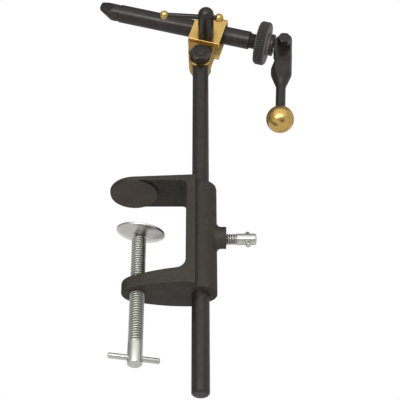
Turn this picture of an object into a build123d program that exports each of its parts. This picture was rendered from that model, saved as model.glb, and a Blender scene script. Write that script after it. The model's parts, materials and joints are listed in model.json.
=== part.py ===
from build123d import *
from math import acos, cos, hypot, pi, radians, sin, tan
import os

# Clamp-on fly tying vise. Millimetres, +Z up. The origin is on the clamp face (the underside of the tongue's
# raised pad), on the clamp screw's axis. +X runs from the clamp screw to the stem, and -Y is the near side.

# Clearances
slide_gap = 0.06          # stem in its column, barrel in its strap
thread_gap = 0.05         # screw threads, taken at their crests
pin_gap = 0.04            # pins and bars in their cross holes
side_gap = 0.05           # flat faces that slide on each other
seat_gap = 0.03           # faces that bear on each other

# Shared details
bar_end_round = 0.2       # rounding of a cross bar's ends, of its diameter
bolt_end_chamfer = 0.5
joined_depth = 0.5        # how far a raised form runs into the body below it
tolerance = 0.01          # for picking edges by place

# Clamp frame casting
frame_width = 27.0
clamp_reach = 25.6        # clamp screw axis to the spine's inner face
tongue_overhang = 17.2    # clamp screw axis to the tongue's tip
tongue_tip_thickness = 2.1
tongue_root_thickness = 4.3
clamp_pad_height = 0.8
clamp_pad_margin = 0.4    # from the clamp pad's edge to the tongue's edge
spine_thickness = 5.0
frame_drop = 64.0         # clamp face to the frame's foot
arm_tip_thickness = 6.6
arm_root_thickness = 9.7
arm_boss_wall = 4.6
throat_top_radius = 2.4
throat_foot_radius = 5.5
casting_edge_radius = 0.9
spine_wall = 3.1          # stem bore to the spine's inner face
column_wall = 4.1         # stem bore to the column's outer face
column_top_radius = 2.2
lock_drop = 29.5          # clamp face to the lock screw's axis
lock_boss_wall = 2.9
lock_boss_rise = 1.0      # the boss's axis above the screw's, as cast
lock_boss_stand = 5.05    # how far the boss stands out of the column
lock_boss_fillet = 3.2

# Stem
stem_diameter = 9.525
stem_foot_drop = 121.6    # clamp face down to the stem's foot
stem_foot_chamfer = 0.9
pivot_height = 98.6       # clamp face up to the tilt pivot
tang_thickness = 7.8
tang_depth = 7.7          # pivot down to the tang's shoulder

# Stem lock screw
lock_screw_diameter = 6.35
lock_screw_stand = 16.45  # from the boss's face to the screw's end
lock_screw_chamfer = 0.8
lock_pin_diameter = 2.7
lock_pin_length = 14.0
lock_pin_inset = 4.6      # from the screw's end to the pin
lock_pin_angle = 61.0     # the pin's lean from level, near end low

# Clamp screw, its cross bar and pad
clamp_screw_diameter = 7.9375
clamp_screw_foot_drop = 105.2
clamp_screw_end_chamfer = 0.7
clamp_screw_neck_diameter = 4.6
clamp_screw_rivet_diameter = 8.6
clamp_screw_rivet_crown = 6.0
clamp_screw_rivet_height = 1.0
tee_bar_diameter = 3.0
tee_bar_length = 27.0
tee_bar_slip = 0.5        # how far the bar has slid to its left
tee_bar_rise = 3.9        # screw's foot to the bar's axis
tee_bar_turn = 15.0       # from the frame's length, right end far
clamp_opening = 24.6      # clamp face to the pad's rim, with the pad level
pad_diameter = 26.6
pad_thickness = 1.2
pad_dish = 2.4            # how far the pad's middle lies below its rim
pad_seat_diameter = 9.6   # flat middle that rests on the screw's shoulder
pad_hole_play = 0.9
pad_shift = 0.4           # how far the loose pad has moved to its right
pad_bow = 0.4             # how far the dish's section bows below straight
pad_lean_right = 7.2      # the pad's loose lean, right edge low
pad_lean_near = 10.3      # and near edge low

# Head bracket, bent from strip
head_tilt = 15.8          # the jaws' rise above level
barrel_lift = 25.25       # tilt pivot to the barrel's axis
strap_length = 19.5
strap_forward = 1.2       # strap's middle ahead of the pivot
strip_thickness = 1.6
strap_bend_radius = 2.2
ear_radius = 7.0
ear_rear = 6.2            # pivot to the ears' rear edge
fold_margin = 0.9         # lock post to the fold below it

# Fasteners of the head
pivot_bolt_diameter = 6.35
hexagon_flats = 11.1125
hexagon_height = 4.1
bolt_end_stand = 1.0      # bolt ends past their nuts
lock_post_diameter = 9.5
lock_shank_diameter = 6.35
lock_shank_clearance = 0.3
lock_post_length = 17.2   # bracket's face to the dome's centre
tommy_hole_inset = 2.1    # dome's centre back to the cross hole
tommy_bar_diameter = 3.175
tommy_span = 33.0         # between the balls' centres
tommy_ball_diameter = 5.4
tommy_stop_gap = 0.4      # right ball to the post, where the bar has slid over
tommy_ball_depth = 1.2    # how far the bar enters past a ball's centre
tommy_turn = -11.5        # bar's turn from the barrel's line

# Barrel
barrel_diameter = 11.1125
barrel_front = 59.6       # pivot's square to the barrel's mouth
barrel_rear = 24.7        # pivot's square to the barrel's shoulder
barrel_edge = 0.4
neck_diameter = 9.5
neck_length = 8.5
barrel_bore_diameter = 8.6
barrel_bore_rear = 5.0    # pivot's square to the end of the wide bore
mouth_half_angle = 10.0
mouth_wall = 0.35

# Jaws and draw rod
jaw_nose_diameter = 10.6
jaw_length = 13.8         # barrel's mouth to the jaws' tip
jaw_draw = 1.4            # how far the jaws can be drawn before they seat
jaw_bevel_start = 0.3     # barrel's mouth to the lower bevel
jaw_tip_height = 5.0
jaw_tip_thickness = 1.7
jaw_facet_start = 3.6     # barrel's mouth to the side facets
jaw_split = 0.5
jaw_split_length = 38.0   # tip to the end of the split
jaw_tip_radius = 1.4
jaw_shank_length = 36.0   # barrel's mouth to the jaws' rear end
rod_diameter = 6.35
rod_socket_depth = 9.0
rod_eye_radius = 4.6
rod_eye_thickness = 3.2

# Return spring
spring_wire_diameter = 0.8
spring_turns = 7

# Knob, washer and lever
knob_gap = 4.7            # barrel's shoulder to the knob's face
knob_diameter = 26.8
knob_thickness = 6.8
knob_edge_radius = 1.1
hub_diameter = 13.4
hub_length = 1.55
washer_diameter = 13.4
washer_thickness = 2.0
lever_diameter = 12.7
lever_offset = 1.05       # lever's own axis ahead of its pin
lever_lean = 12.4         # lever's lean from square to the barrel
cam_radius = 6.7
cam_throw = 0.99          # pin to the cam arc's centre
cam_angle = 45.0          # of that throw above the lever's square
lever_thickness = 7.6     # between the side flats, which run out on the cone
lever_notch_drop = 10.6
lever_notch_radius = 15.0
lever_notch_depth = 2.3
lever_shoulder_drop = 22.0
lever_neck_drop = 32.0
lever_cone_blend = 8.0    # rounding where the cone begins and ends
lever_neck_diameter = 5.85
lever_fork_depth = 5.2
lever_pin_diameter = 3.175
lever_pin_flats = 7.0     # the pin's hexagon head
lever_pin_head_height = 5.6
ball_diameter = 16.35
ball_drop = 56.4          # lever pin to the ball's centre
ball_socket_depth = 5.0

# Places worked out from the sizes above
stem_radius = stem_diameter / 2
stem_bore_radius = stem_radius + slide_gap
stem_x = clamp_reach + spine_wall + stem_bore_radius
column_radius = stem_bore_radius + column_wall
spine_back = clamp_reach + spine_thickness
tongue_top = clamp_pad_height + tongue_root_thickness
half_width = frame_width / 2
tip_centre = half_width - tongue_overhang
arm_boss_radius = clamp_screw_diameter / 2 + arm_boss_wall
lock_boss_radius = lock_screw_diameter / 2 + lock_boss_wall
lock_boss_face = stem_x + column_radius + lock_boss_stand
lock_screw_end = lock_boss_face + lock_screw_stand
barrel_radius = barrel_diameter / 2
strap_inside = barrel_radius + slide_gap
strap_outside = strap_inside + strip_thickness
ear_inside = tang_thickness / 2 + side_gap
ear_outside = ear_inside + strip_thickness
lock_lift = barrel_lift - barrel_radius - lock_shank_clearance - lock_shank_diameter / 2
fold_lift = lock_lift - lock_post_diameter / 2 - fold_margin
tommy_reach = strap_outside + lock_post_length - tommy_hole_inset
tommy_right = lock_post_diameter / 2 + tommy_stop_gap + tommy_ball_diameter / 2
tommy_left = tommy_right - tommy_span
knob_front = barrel_rear + knob_gap
hub_end = knob_front + knob_thickness + hub_length
washer_front = hub_end + seat_gap
washer_rear = washer_front + washer_thickness
cam_x = cam_throw * cos(radians(cam_angle))
cam_z = cam_throw * sin(radians(cam_angle))
cam_rest_reach = cam_radius - cam_throw * cos(radians(cam_angle + lever_lean))
lever_pin_place = washer_rear + seat_gap + cam_rest_reach
rod_radius = rod_diameter / 2
bore_radius = barrel_bore_diameter / 2
jaw_shank_radius = bore_radius - slide_gap
jaw_rear = jaw_shank_length - barrel_front
mouth_radius = barrel_radius - mouth_wall
pad_seat = -clamp_opening - pad_dish - pad_thickness
pad_rim = pad_dish + pad_thickness

# Frames: the head's, with X rearward along the barrel and Z up, and the barrel's, with Z rearward
head = Location((stem_x, 0, pivot_height), (0, head_tilt, 0))
barrel_line = head * Location((0, 0, barrel_lift), (0, 90, 0))
lever_frame = head * Location((lever_pin_place, 0, barrel_lift), (0, -lever_lean, 0))
across = Rot(90, 0, 0)    # turns a piece made along Z to lie along -Y
endways = Rot(0, 90, 0)   # turns a piece made along Z to lie along +X
pad_frame = Location((pad_shift, 0, pad_seat), (pad_lean_near, pad_lean_right, 0))
pad_lean = sin(acos(cos(radians(pad_lean_near)) * cos(radians(pad_lean_right))))
tee_frame = Location((0, 0, tee_bar_rise - clamp_screw_foot_drop), (0, 0, tee_bar_turn)) * endways
lock_frame = Location((0, 0, -lock_drop)) * endways
lock_pin_frame = Location((lock_screw_end - lock_pin_inset, 0, -lock_drop), (lock_pin_angle - 90, 0, 0))
lock_post_frame = head * Location((-strap_forward, 0, lock_lift)) * across
tommy_frame = head * Location((-strap_forward, -tommy_reach, lock_lift), (0, tommy_turn, 0)) * endways
BOTTOM = (Align.CENTER, Align.CENTER, Align.MIN)


def rod(radius, low, high):
    """A cylinder on Z between two heights."""
    return Pos(0, 0, low) * Cylinder(radius, high - low, align=BOTTOM)


def turned(*outline):
    """A solid of revolution about Z from (radius, height) points."""
    return revolve(Plane.XZ * make_face(Polyline(*outline, close=True)), Axis.Z)


def across_prism(face, half_depth):
    """A prism of a face drawn in X and Z, running both ways along Y."""
    return extrude(Plane.XZ * face, half_depth, both=True)


def hexagon(flats, height):
    """A hexagon head or nut with its corners turned down at the outer end."""
    apothem = flats / 2
    corner = apothem / cos(pi / 6)
    drop = (corner - apothem) * tan(radians(30))
    prism = extrude(RegularPolygon(apothem, 6, major_radius=False), height)
    cap = turned((0, 0), (corner, 0), (corner, height - drop), (apothem, height), (0, height))
    return prism & cap


def near_vertex(face, x, y):
    """The corner of a flat outline nearest to a point."""
    return face.vertices().sort_by_distance((x, y, 0))[0]


# Clamp


def make_clamp_frame():
    """C-shaped casting: tongue, spine, stem column with its lock boss, and lower arm."""
    foot = -frame_drop
    tip_top = clamp_pad_height + tongue_tip_thickness
    arm_root = foot + arm_root_thickness
    side = make_face(Polyline(
        (-tongue_overhang, clamp_pad_height), (-tongue_overhang, tip_top), (spine_back, tongue_top),
        (spine_back, foot), (-arm_boss_radius, foot), (-arm_boss_radius, foot + arm_tip_thickness),
        (clamp_reach, arm_root), (clamp_reach, clamp_pad_height), close=True))
    side = fillet(near_vertex(side, clamp_reach, clamp_pad_height), throat_top_radius)
    side = fillet(near_vertex(side, clamp_reach, arm_root), throat_foot_radius)
    middle = foot / 2
    tongue_plan = Circle(half_width).moved(Location((tip_centre, 0)))
    tongue_plan += Pos((tip_centre + spine_back) / 2, 0) * Rectangle(spine_back - tip_centre, frame_width)
    widening = half_width - arm_boss_radius
    flank_radius = (clamp_reach ** 2 + half_width ** 2 - arm_boss_radius ** 2) / (2 * widening)
    touch = Vector(-clamp_reach, flank_radius - half_width).normalized() * arm_boss_radius
    arm_edge = [
        TangentArc((clamp_reach, half_width), touch, tangent=(-1, 0)),
        ThreePointArc(touch, (-arm_boss_radius, 0), (touch.X, -touch.Y)),
        TangentArc((clamp_reach, -half_width), (touch.X, -touch.Y), tangent=(-1, 0)),
        Polyline((clamp_reach, half_width), (spine_back, half_width), (spine_back, -half_width),
                 (clamp_reach, -half_width)),
    ]
    arm_plan = make_face(Curve() + arm_edge)
    plan = Pos(0, 0, middle) * extrude(tongue_plan, frame_drop)
    plan += Pos(0, 0, foot) * extrude(arm_plan, frame_drop / 2)
    body = across_prism(side, half_width) & plan
    rounded = body.edges().filter_by(lambda edge: edge.center().X < spine_back - tolerance)
    body = fillet(rounded, casting_edge_radius)
    column = Pos(stem_x, 0, 0) * rod(column_radius, foot, tongue_top)
    column = fillet(column.edges().filter_by(GeomType.CIRCLE).sort_by(Axis.Z)[-1], column_top_radius)
    column &= Pos(clamp_reach, 0, 0) * Box(4 * column_radius, frame_width, 4 * frame_drop,
                                           align=(Align.MIN, Align.CENTER, Align.CENTER))
    boss = Pos(0, 0, lock_boss_rise) * lock_frame * rod(lock_boss_radius, stem_x, lock_boss_face)
    post = column + boss
    root = post.edges().filter_by(GeomType.BSPLINE)
    root = root.filter_by(lambda edge: stem_x + tolerance < edge.center().X < lock_boss_face - tolerance)
    root = root.filter_by(lambda edge: abs(edge.center().Z + lock_drop) < 2 * lock_boss_radius)
    post = fillet(root, lock_boss_fillet)
    body += post
    body += Pos(tip_centre, 0, 0) * rod(half_width - clamp_pad_margin, 0, clamp_pad_height + joined_depth)
    body -= Pos(stem_x, 0, 0) * rod(stem_bore_radius, 2 * foot, frame_drop)
    body -= rod(clamp_screw_diameter / 2 + thread_gap, 2 * foot, middle)
    body -= lock_frame * rod(lock_screw_diameter / 2 + thread_gap, stem_x, 2 * lock_boss_face)
    return body


def make_swivel_pad():
    """Dished disc with a flat middle and a loose hole for the screw's neck."""
    hole = clamp_screw_neck_diameter / 2 + pad_hole_play
    seat = pad_seat_diameter / 2
    edge = pad_diameter / 2
    middle = (seat + edge) / 2
    bowed = pad_dish / 2 - pad_bow
    section = Curve() + [
        Polyline((seat, pad_thickness), (hole, pad_thickness), (hole, 0), (seat, 0)),
        ThreePointArc((seat, 0), (middle, bowed), (edge, pad_dish)),
        Line((edge, pad_dish), (edge, pad_rim)),
        ThreePointArc((edge, pad_rim), (middle, bowed + pad_thickness), (seat, pad_thickness)),
    ]
    return pad_frame * revolve(Plane.XZ * make_face(section), Axis.Z)


def make_clamp_screw():
    """Screw with a riveted-over neck at the top and a cross hole near its foot."""
    radius = clamp_screw_diameter / 2
    neck = clamp_screw_neck_diameter / 2
    rivet = clamp_screw_rivet_diameter / 2
    crown = clamp_screw_rivet_crown / 2
    foot = -clamp_screw_foot_drop
    tip = clamp_screw_end_chamfer
    shoulder = pad_seat - (radius + pad_shift) * pad_lean - seat_gap
    rivet_low = pad_seat + pad_thickness + (rivet + pad_shift) * pad_lean + seat_gap
    rivet_top = rivet_low + clamp_screw_rivet_height
    screw = turned((0, foot), (radius - tip, foot), (radius, foot + tip), (radius, shoulder - tip),
                   (radius - tip, shoulder), (neck, shoulder), (neck, rivet_low), (rivet, rivet_low),
                   (crown, rivet_top), (0, rivet_top))
    hole = tee_frame * rod(tee_bar_diameter / 2 + pin_gap, -2 * radius, 2 * radius)
    return screw - hole


def make_clamp_tee_bar():
    """Round cross bar with rounded ends."""
    half = tee_bar_length / 2
    bar = rod(tee_bar_diameter / 2, -half - tee_bar_slip, half - tee_bar_slip)
    bar = fillet(bar.edges().filter_by(GeomType.CIRCLE), tee_bar_diameter * bar_end_round)
    return tee_frame * bar


# Stem and its lock


def make_stem():
    """Round rod with a chamfered foot and a flat, round-topped tang for the tilt pivot."""
    low = -stem_foot_drop
    tip = stem_foot_chamfer
    shaft = turned((0, low), (stem_radius - tip, low), (stem_radius, low + tip),
                   (stem_radius, pivot_height + stem_radius), (0, pivot_height + stem_radius))
    top = across_prism(Circle(stem_radius), stem_radius).moved(Location((0, 0, pivot_height)))
    below = rod(stem_radius, low, pivot_height)
    shaft &= top + below
    shoulder = pivot_height - tang_depth
    cheek = Box(4 * stem_radius, 2 * stem_radius, 4 * stem_radius, align=BOTTOM)
    for side in (-1, 1):
        shaft -= Pos(0, side * (tang_thickness / 2 + stem_radius), shoulder) * cheek
    hole = across * rod(pivot_bolt_diameter / 2 + pin_gap, -stem_diameter, stem_diameter)
    shaft -= Pos(0, 0, pivot_height) * hole
    return Pos(stem_x, 0, 0) * shaft


def make_stem_lock_screw():
    """Lock screw that bears on the stem, with a cross hole near its outer end."""
    radius = lock_screw_diameter / 2
    tip = lock_screw_chamfer
    start = stem_x + stem_radius + seat_gap
    screw = turned((0, start), (radius - tip, start), (radius, start + tip), (radius, lock_screw_end - tip),
                   (radius - tip, lock_screw_end), (0, lock_screw_end))
    hole = rod(lock_pin_diameter / 2 + pin_gap, -2 * radius, 2 * radius)
    return lock_frame * screw - lock_pin_frame * hole


def make_stem_lock_pin():
    """Cross pin with rounded ends."""
    half = lock_pin_length / 2
    pin = rod(lock_pin_diameter / 2, -half, half)
    pin = fillet(pin.edges().filter_by(GeomType.CIRCLE), lock_pin_diameter * bar_end_round)
    return lock_pin_frame * pin


# Head bracket and its fasteners


def make_head_bracket():
    """Brass strap over the barrel; its legs step in to two ears that straddle the stem's tang."""
    web_top = barrel_lift + strap_outside
    web_under = barrel_lift + strap_inside
    ear_low = -ear_radius
    step = fold_lift + strip_thickness
    section = make_face(Polyline(
        (-strap_outside, web_top), (strap_outside, web_top), (strap_outside, fold_lift),
        (ear_outside, fold_lift), (ear_outside, ear_low), (ear_inside, ear_low), (ear_inside, step),
        (strap_inside, step), (strap_inside, web_under), (-strap_inside, web_under), (-strap_inside, step),
        (-ear_inside, step), (-ear_inside, ear_low), (-ear_outside, ear_low), (-ear_outside, fold_lift),
        (-strap_outside, fold_lift), close=True))
    for side in (-1, 1):
        section = fillet(near_vertex(section, side * strap_outside, web_top), strap_bend_radius)
        section = fillet(near_vertex(section, side * strap_outside, fold_lift), strip_thickness / 3)
    strip = extrude(Plane.YZ * section, strap_length, both=True)
    body_plan = Pos(-strap_forward, (fold_lift + web_top) / 2) * Rectangle(strap_length, web_top - fold_lift)
    outline = make_hull(Circle(ear_radius).edges() + body_plan.edges())
    behind = Rectangle(strap_length, 2 * strap_length, align=(Align.MIN, Align.MAX))
    outline -= Pos(ear_rear, fold_lift) * behind
    strip &= across_prism(outline, strap_outside)
    strip -= across * rod(pivot_bolt_diameter / 2 + pin_gap, -frame_width, frame_width)
    lock_hole = across * rod(lock_shank_diameter / 2 + pin_gap, -frame_width, frame_width)
    strip -= Pos(-strap_forward, 0, lock_lift) * lock_hole
    return head * strip


def make_pivot_bolt():
    """Hexagon bolt through both ears and the tang, head on the far side."""
    face = ear_outside + side_gap
    end = face + hexagon_height + bolt_end_stand
    radius = pivot_bolt_diameter / 2
    shank = turned((0, -face), (radius, -face), (radius, end - bolt_end_chamfer),
                   (radius - bolt_end_chamfer, end), (0, end))
    top = Pos(0, 0, -face) * Rot(180, 0, 0) * hexagon(hexagon_flats, hexagon_height)
    return Pos(stem_x, 0, pivot_height) * across * (shank + top)


def make_pivot_nut():
    """Nut on the near end of the tilt bolt."""
    bore = rod(pivot_bolt_diameter / 2 + thread_gap, -hexagon_height, 2 * hexagon_height)
    nut = Pos(0, 0, ear_outside + side_gap) * (hexagon(hexagon_flats, hexagon_height) - bore)
    return Pos(stem_x, 0, pivot_height) * across * nut


def make_head_lock_screw():
    """Domed post on the near side; its shank passes under the barrel to the nut behind."""
    face = strap_outside + side_gap
    back = -face - hexagon_height - bolt_end_stand
    centre = strap_outside + lock_post_length
    post_radius = lock_post_diameter / 2
    radius = lock_shank_diameter / 2
    shank = turned((0, back), (radius - bolt_end_chamfer, back), (radius, back + bolt_end_chamfer),
                   (radius, face), (0, face))
    post = rod(post_radius, face, centre) + Pos(0, 0, centre) * Sphere(post_radius)
    screw = lock_post_frame * (shank + post)
    hole = tommy_frame * rod(tommy_bar_diameter / 2 + pin_gap, -lock_post_diameter, lock_post_diameter)
    return screw - hole


def make_head_lock_nut():
    """Nut behind the bracket that the lock screw draws on."""
    bore = rod(lock_shank_diameter / 2 + thread_gap, -hexagon_height, 2 * hexagon_height)
    nut = Rot(180, 0, 0) * (hexagon(hexagon_flats, hexagon_height) - bore)
    return lock_post_frame * Pos(0, 0, -strap_outside - seat_gap) * nut


def make_lock_tommy_bar():
    """Bar that slides in the lock post."""
    bar = rod(tommy_bar_diameter / 2, tommy_left - tommy_ball_depth, tommy_right + tommy_ball_depth)
    return tommy_frame * bar


def make_tommy_ball(place, outward):
    """Small ball screwed on one end of the tommy bar."""
    ball_radius = tommy_ball_diameter / 2
    bore = rod(tommy_bar_diameter / 2 + thread_gap, -2 * ball_radius, tommy_ball_depth + seat_gap)
    if outward < 0:
        bore = Rot(180, 0, 0) * bore
    return tommy_frame * Pos(0, 0, place) * (Sphere(ball_radius) - bore)


# Barrel and the draw mechanism


def make_barrel():
    """Sleeve with a tapered mouth, a wide bore for the jaws and a threaded neck at the rear."""
    front = -barrel_front
    cone = (mouth_radius - bore_radius) / tan(radians(mouth_half_angle))
    neck = neck_diameter / 2
    end = barrel_rear + neck_length
    passage = rod_radius + slide_gap
    lip = barrel_edge / 2
    return barrel_line * turned(
        (mouth_radius, front), (barrel_radius - lip, front), (barrel_radius, front + lip),
        (barrel_radius, barrel_rear - barrel_edge), (barrel_radius - barrel_edge, barrel_rear),
        (neck, barrel_rear), (neck, end - barrel_edge), (neck - barrel_edge, end), (passage, end),
        (passage, barrel_bore_rear), (bore_radius, barrel_bore_rear), (bore_radius, front + cone))


def make_collet_jaws():
    """Split jaws: chisel-shaped nose, taper that seats in the barrel's mouth, and shank."""
    nose = jaw_nose_diameter / 2
    slope = tan(radians(mouth_half_angle))
    tip = -barrel_front - jaw_length
    seat = -barrel_front - jaw_draw
    cone_front = seat - (nose - mouth_radius) / slope
    cone_rear = seat + (mouth_radius - jaw_shank_radius) / slope
    blank = turned((0, tip), (nose, tip), (nose, cone_front), (jaw_shank_radius, cone_rear),
                   (jaw_shank_radius, jaw_rear), (0, jaw_rear))
    bevel_start = -barrel_front - jaw_bevel_start
    profile = make_face(Polyline(
        (tip, nose), (jaw_rear, nose), (jaw_rear, -nose), (bevel_start, -nose), (tip, nose - jaw_tip_height),
        close=True))
    profile = fillet(near_vertex(profile, tip, nose), jaw_tip_radius)
    profile = fillet(near_vertex(profile, tip, nose - jaw_tip_height), jaw_tip_radius)
    facet_start = -barrel_front - jaw_facet_start
    half_tip = jaw_tip_thickness / 2
    plan = make_face(Polyline(
        (tip, half_tip), (facet_start, nose), (jaw_rear, nose), (jaw_rear, -nose), (facet_start, -nose),
        (tip, -half_tip), close=True))
    jaws = endways * blank
    jaws &= across_prism(profile, nose)
    jaws &= extrude(plan, nose, both=True)
    split_end = tip + jaw_split_length
    jaws -= Pos((tip + split_end) / 2, 0, 0) * Box(jaw_split_length, jaw_split, 2 * jaw_nose_diameter)
    jaws -= endways * rod(rod_radius + thread_gap, jaw_rear - rod_socket_depth, jaw_rear + nose)
    return head * Pos(0, 0, barrel_lift) * jaws


def make_draw_rod():
    """Rod from the jaws' socket to a flat eye on the lever's pin."""
    start = jaw_rear - rod_socket_depth + seat_gap
    eye_root = lever_pin_place - cam_radius - rod_eye_radius
    shank = rod(rod_radius, start, lever_pin_place)
    half = rod_eye_thickness / 2
    flat = Pos(0, 0, eye_root) * Box(2 * rod_diameter, rod_eye_thickness, 4 * rod_eye_radius, align=BOTTOM)
    shank &= rod(rod_diameter, start, eye_root) + flat
    shank += Pos(0, 0, lever_pin_place) * across * rod(rod_eye_radius, -half, half)
    hole = across * rod(lever_pin_diameter / 2 + pin_gap, -rod_diameter, rod_diameter)
    return barrel_line * (shank - Pos(0, 0, lever_pin_place) * hole)


def make_return_spring():
    """Compression spring round the draw rod, wound as half turns that lean alternately."""
    wire = spring_wire_diameter / 2
    coil = (bore_radius + rod_radius) / 2
    low = jaw_rear + wire + seat_gap
    high = barrel_bore_rear - wire - seat_gap
    rise = (high - low) / (2 * spring_turns)
    points = [Vector(coil * (-1) ** turn, 0, low + rise * turn) for turn in range(2 * spring_turns + 1)]
    arcs = []
    for turn in range(2 * spring_turns):
        middle = (points[turn] + points[turn + 1]) / 2
        bulge = hypot(coil, rise / 2) * (-1) ** turn
        arcs.append(ThreePointArc(points[turn], middle + Vector(0, bulge, 0), points[turn + 1]))
    print(f"return spring: least gap between turns {2 * rise - spring_wire_diameter:.2f} mm")
    start = Plane(origin=points[0], z_dir=(0, 1, 0))
    return barrel_line * sweep(start * Circle(wire), path=Wire(arcs))


def make_adjusting_knob():
    """Knob with a rounded rim and a rear hub, threaded on the barrel's neck."""
    rim = knob_diameter / 2
    bore = neck_diameter / 2 + thread_gap
    rear = knob_front + knob_thickness
    disc = turned((bore, knob_front), (rim, knob_front), (rim, rear), (bore, rear))
    edges = disc.edges().filter_by(GeomType.CIRCLE).filter_by(lambda edge: edge.radius > rim - tolerance)
    disc = fillet(edges, knob_edge_radius)
    hub = rod(hub_diameter / 2, rear, hub_end) - rod(bore, rear, hub_end)
    return barrel_line * (disc + hub)


def make_thrust_washer():
    """Ring between the knob's hub and the lever's cam."""
    ring = rod(washer_diameter / 2, washer_front, washer_rear)
    return barrel_line * (ring - rod(rod_radius + slide_gap, hub_end, lever_pin_place))


def make_cam_lever():
    """Forked lever turned from bar: round cam end, side flats, long relief notch, cone and neck."""
    radius = lever_diameter / 2
    neck = lever_neck_diameter / 2
    above = 2 * cam_radius
    end = -(ball_drop - ball_diameter / 2 + ball_socket_depth)
    half = make_face(Polyline(
        (0, above), (radius, above), (radius, -lever_shoulder_drop), (neck, -lever_neck_drop), (neck, end),
        (0, end), close=True))
    half = fillet(near_vertex(half, radius, -lever_shoulder_drop), lever_cone_blend)
    half = fillet(near_vertex(half, neck, -lever_neck_drop), lever_cone_blend)
    bar = Pos(-lever_offset, 0, 0) * revolve(Plane.XZ * half, Axis.Z)
    left = cam_x - cam_radius
    right = radius - lever_offset
    cam = Pos(cam_x, cam_z) * Circle(cam_radius)
    flank = Rectangle(right - left, cam_z + lever_notch_drop)
    flank = Pos((left + right) / 2, (cam_z - lever_notch_drop) / 2) * flank
    lower = Pos(0, end / 2 - lever_notch_drop / 2) * Rectangle(4 * radius, -end - lever_notch_drop)
    notch = Pos(-lever_offset - radius + lever_notch_depth - lever_notch_radius, -lever_notch_drop)
    outline = cam + flank + lower - notch * Circle(lever_notch_radius)
    lever = bar & across_prism(outline, 2 * radius)
    lever &= Box(4 * radius, lever_thickness, -4 * end)
    fork = Box(6 * radius, rod_eye_thickness + 2 * side_gap, 4 * radius, align=BOTTOM)
    lever -= Pos(0, 0, -lever_fork_depth) * fork
    lever -= across * rod(lever_pin_diameter / 2 + pin_gap, -radius, radius)
    return lever_frame * lever


def make_lever_pin():
    """Pivot pin through the fork, with a hexagon head on the near side."""
    face = lever_thickness / 2 + seat_gap
    radius = lever_pin_diameter / 2
    shank = turned((0, -face - bolt_end_stand), (radius - bolt_end_chamfer, -face - bolt_end_stand),
                   (radius, -face - bolt_end_stand + bolt_end_chamfer), (radius, face), (0, face))
    pin = shank + Pos(0, 0, face) * hexagon(lever_pin_flats, lever_pin_head_height)
    return lever_frame * across * pin


def make_ball_knob():
    """Ball with a blind socket for the lever's neck."""
    ball_radius = ball_diameter / 2
    floor = ball_radius - ball_socket_depth - seat_gap
    socket = rod(lever_neck_diameter / 2 + thread_gap, floor, 2 * ball_radius)
    return lever_frame * Pos(-lever_offset, 0, -ball_drop) * (Sphere(ball_radius) - socket)


pieces = {
    "clamp_frame": make_clamp_frame(),
    "swivel_pad": make_swivel_pad(),
    "clamp_screw": make_clamp_screw(),
    "clamp_tee_bar": make_clamp_tee_bar(),
    "stem": make_stem(),
    "stem_lock_screw": make_stem_lock_screw(),
    "stem_lock_pin": make_stem_lock_pin(),
    "head_bracket": make_head_bracket(),
    "pivot_bolt": make_pivot_bolt(),
    "pivot_nut": make_pivot_nut(),
    "head_lock_screw": make_head_lock_screw(),
    "head_lock_nut": make_head_lock_nut(),
    "lock_tommy_bar": make_lock_tommy_bar(),
    "tommy_ball_left": make_tommy_ball(tommy_left, -1),
    "tommy_ball_right": make_tommy_ball(tommy_right, 1),
    "barrel": make_barrel(),
    "collet_jaws": make_collet_jaws(),
    "draw_rod": make_draw_rod(),
    "return_spring": make_return_spring(),
    "adjusting_knob": make_adjusting_knob(),
    "thrust_washer": make_thrust_washer(),
    "cam_lever": make_cam_lever(),
    "lever_pin": make_lever_pin(),
    "ball_knob": make_ball_knob(),
}

os.makedirs("parts", exist_ok=True)
for name, solid in pieces.items():
    export_step(solid, f"parts/{name}.step")
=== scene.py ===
import json
from math import atan2, cos, pi, radians, sin, sqrt, tan

import bmesh
import bpy
from mathutils import Matrix, Vector


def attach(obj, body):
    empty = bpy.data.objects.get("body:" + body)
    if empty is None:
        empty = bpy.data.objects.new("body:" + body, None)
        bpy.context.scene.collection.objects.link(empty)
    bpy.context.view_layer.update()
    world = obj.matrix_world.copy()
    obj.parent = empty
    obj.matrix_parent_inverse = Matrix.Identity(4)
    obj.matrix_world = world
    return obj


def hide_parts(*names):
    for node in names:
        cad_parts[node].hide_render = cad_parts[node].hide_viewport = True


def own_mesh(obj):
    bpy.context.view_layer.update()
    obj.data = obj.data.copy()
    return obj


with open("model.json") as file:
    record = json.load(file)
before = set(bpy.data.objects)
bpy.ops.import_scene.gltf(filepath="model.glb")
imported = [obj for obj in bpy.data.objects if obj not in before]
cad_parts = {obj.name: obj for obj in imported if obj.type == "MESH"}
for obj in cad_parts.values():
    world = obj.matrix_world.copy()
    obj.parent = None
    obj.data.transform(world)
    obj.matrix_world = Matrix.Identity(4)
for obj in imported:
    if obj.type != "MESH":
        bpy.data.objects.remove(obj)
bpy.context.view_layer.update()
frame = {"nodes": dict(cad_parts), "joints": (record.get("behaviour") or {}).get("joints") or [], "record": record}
nodes = frame["nodes"]
joints = {joint["name"]: joint for joint in frame["joints"]}
bodies = frame["record"]["behaviour"]["bodies"]
body_of_node = {node: body for body, group in bodies.items() for node in group}
MM = 0.001
INCH = 25.4

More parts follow.
